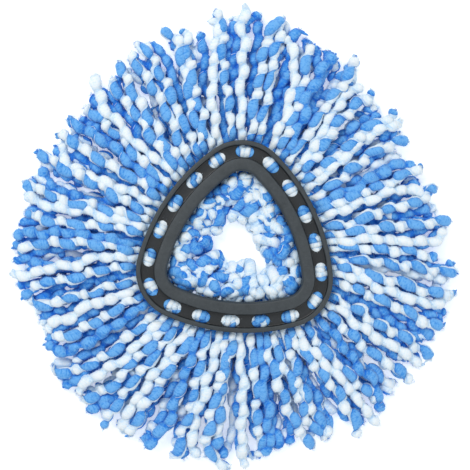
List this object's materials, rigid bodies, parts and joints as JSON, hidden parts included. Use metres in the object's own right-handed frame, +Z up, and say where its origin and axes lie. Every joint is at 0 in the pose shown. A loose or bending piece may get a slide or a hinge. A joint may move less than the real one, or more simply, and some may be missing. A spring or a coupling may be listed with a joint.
{
  "type": "spin mop refill head",
  "caption": "Rounded-triangle spin mop refill head: a windowed clamp ring over a backing ring, holding radial bundles of blue and white twisted microfibre yarn.",
  "frame": {"origin": "centre of the head's outline, on the floor plane it rests on", "axes": "+Z up out of the windowed face, +Y towards one corner of the triangle"},
  "size_m": [0.3296, 0.33, 0.0246],
  "materials": {
    "ring_plastic": "satin moulded plastic",
    "yarn": "twisted two-ply microfibre yarn, blue and white"
  },
  "bodies": {
    "ring_assembly": {"upper_ring": "ring_plastic", "lower_ring": "ring_plastic", "yarn_loop_01": "yarn", "yarn_loop_02": "yarn", "yarn_loop_03": "yarn", "yarn_loop_04": "yarn", "yarn_loop_05": "yarn", "yarn_loop_06": "yarn", "yarn_loop_07": "yarn", "yarn_loop_08": "yarn", "yarn_loop_09": "yarn", "yarn_loop_10": "yarn", "yarn_loop_11": "yarn", "yarn_loop_12": "yarn", "yarn_loop_13": "yarn", "yarn_loop_14": "yarn", "yarn_loop_15": "yarn", "yarn_loop_16": "yarn", "yarn_loop_17": "yarn", "yarn_loop_18": "yarn"},
    "fan_01": {"yarn_fan_01": "yarn"},
    "fan_02": {"yarn_fan_02": "yarn"},
    "fan_03": {"yarn_fan_03": "yarn"},
    "fan_04": {"yarn_fan_04": "yarn"},
    "fan_05": {"yarn_fan_05": "yarn"},
    "fan_06": {"yarn_fan_06": "yarn"},
    "fan_07": {"yarn_fan_07": "yarn"},
    "fan_08": {"yarn_fan_08": "yarn"},
    "fan_09": {"yarn_fan_09": "yarn"},
    "fan_10": {"yarn_fan_10": "yarn"},
    "fan_11": {"yarn_fan_11": "yarn"},
    "fan_12": {"yarn_fan_12": "yarn"},
    "fan_13": {"yarn_fan_13": "yarn"},
    "fan_14": {"yarn_fan_14": "yarn"},
    "fan_15": {"yarn_fan_15": "yarn"},
    "fan_16": {"yarn_fan_16": "yarn"},
    "fan_17": {"yarn_fan_17": "yarn"},
    "fan_18": {"yarn_fan_18": "yarn"}
  },
  "joints": [
    {"name": "fan_01_bend", "type": "hinge", "parent": "ring_assembly", "child": "fan_01", "pos_m": [0, 0.0834, 0.007], "axis": [-1, 0, 0], "range_deg": [-30, 60]},
    {"name": "fan_02_bend", "type": "hinge", "parent": "ring_assembly", "child": "fan_02", "pos_m": [0.02767, 0.07601, 0.007], "axis": [-0.9397, 0.342, 0], "range_deg": [-30, 60]},
    {"name": "fan_03_bend", "type": "hinge", "parent": "ring_assembly", "child": "fan_03", "pos_m": [0.04686, 0.05585, 0.007], "axis": [-0.766, 0.6428, 0], "range_deg": [-30, 60]},
    {"name": "fan_04_bend", "type": "hinge", "parent": "ring_assembly", "child": "fan_04", "pos_m": [0.05976, 0.0345, 0.007], "axis": [-0.5, 0.866, 0], "range_deg": [-30, 60]},
    {"name": "fan_05_bend", "type": "hinge", "parent": "ring_assembly", "child": "fan_05", "pos_m": [0.07179, 0.01266, 0.007], "axis": [-0.1736, 0.9848, 0], "range_deg": [-30, 60]},
    {"name": "fan_06_bend", "type": "hinge", "parent": "ring_assembly", "child": "fan_06", "pos_m": [0.07966, -0.01405, 0.007], "axis": [0.1736, 0.9848, 0], "range_deg": [-30, 60]},
    {"name": "fan_07_bend", "type": "hinge", "parent": "ring_assembly", "child": "fan_07", "pos_m": [0.07223, -0.0417, 0.007], "axis": [0.5, 0.866, 0], "range_deg": [-30, 60]},
    {"name": "fan_08_bend", "type": "hinge", "parent": "ring_assembly", "child": "fan_08", "pos_m": [0.052, -0.06197, 0.007], "axis": [0.766, 0.6428, 0], "range_deg": [-30, 60]},
    {"name": "fan_09_bend", "type": "hinge", "parent": "ring_assembly", "child": "fan_09", "pos_m": [0.02493, -0.06851, 0.007], "axis": [0.9397, 0.342, 0], "range_deg": [-30, 60]},
    {"name": "fan_10_bend", "type": "hinge", "parent": "ring_assembly", "child": "fan_10", "pos_m": [0, -0.069, 0.007], "axis": [1, 0, 0], "range_deg": [-30, 60]},
    {"name": "fan_11_bend", "type": "hinge", "parent": "ring_assembly", "child": "fan_11", "pos_m": [-0.02493, -0.06851, 0.007], "axis": [0.9397, -0.342, 0], "range_deg": [-30, 60]},
    {"name": "fan_12_bend", "type": "hinge", "parent": "ring_assembly", "child": "fan_12", "pos_m": [-0.052, -0.06197, 0.007], "axis": [0.766, -0.6428, 0], "range_deg": [-30, 60]},
    {"name": "fan_13_bend", "type": "hinge", "parent": "ring_assembly", "child": "fan_13", "pos_m": [-0.07223, -0.0417, 0.007], "axis": [0.5, -0.866, 0], "range_deg": [-30, 60]},
    {"name": "fan_14_bend", "type": "hinge", "parent": "ring_assembly", "child": "fan_14", "pos_m": [-0.07966, -0.01405, 0.007], "axis": [0.1736, -0.9848, 0], "range_deg": [-30, 60]},
    {"name": "fan_15_bend", "type": "hinge", "parent": "ring_assembly", "child": "fan_15", "pos_m": [-0.07179, 0.01266, 0.007], "axis": [-0.1736, -0.9848, 0], "range_deg": [-30, 60]},
    {"name": "fan_16_bend", "type": "hinge", "parent": "ring_assembly", "child": "fan_16", "pos_m": [-0.05976, 0.0345, 0.007], "axis": [-0.5, -0.866, 0], "range_deg": [-30, 60]},
    {"name": "fan_17_bend", "type": "hinge", "parent": "ring_assembly", "child": "fan_17", "pos_m": [-0.04686, 0.05585, 0.007], "axis": [-0.766, -0.6428, 0], "range_deg": [-30, 60]},
    {"name": "fan_18_bend", "type": "hinge", "parent": "ring_assembly", "child": "fan_18", "pos_m": [-0.02767, 0.07601, 0.007], "axis": [-0.9397, -0.342, 0], "range_deg": [-30, 60]}
  ]
}
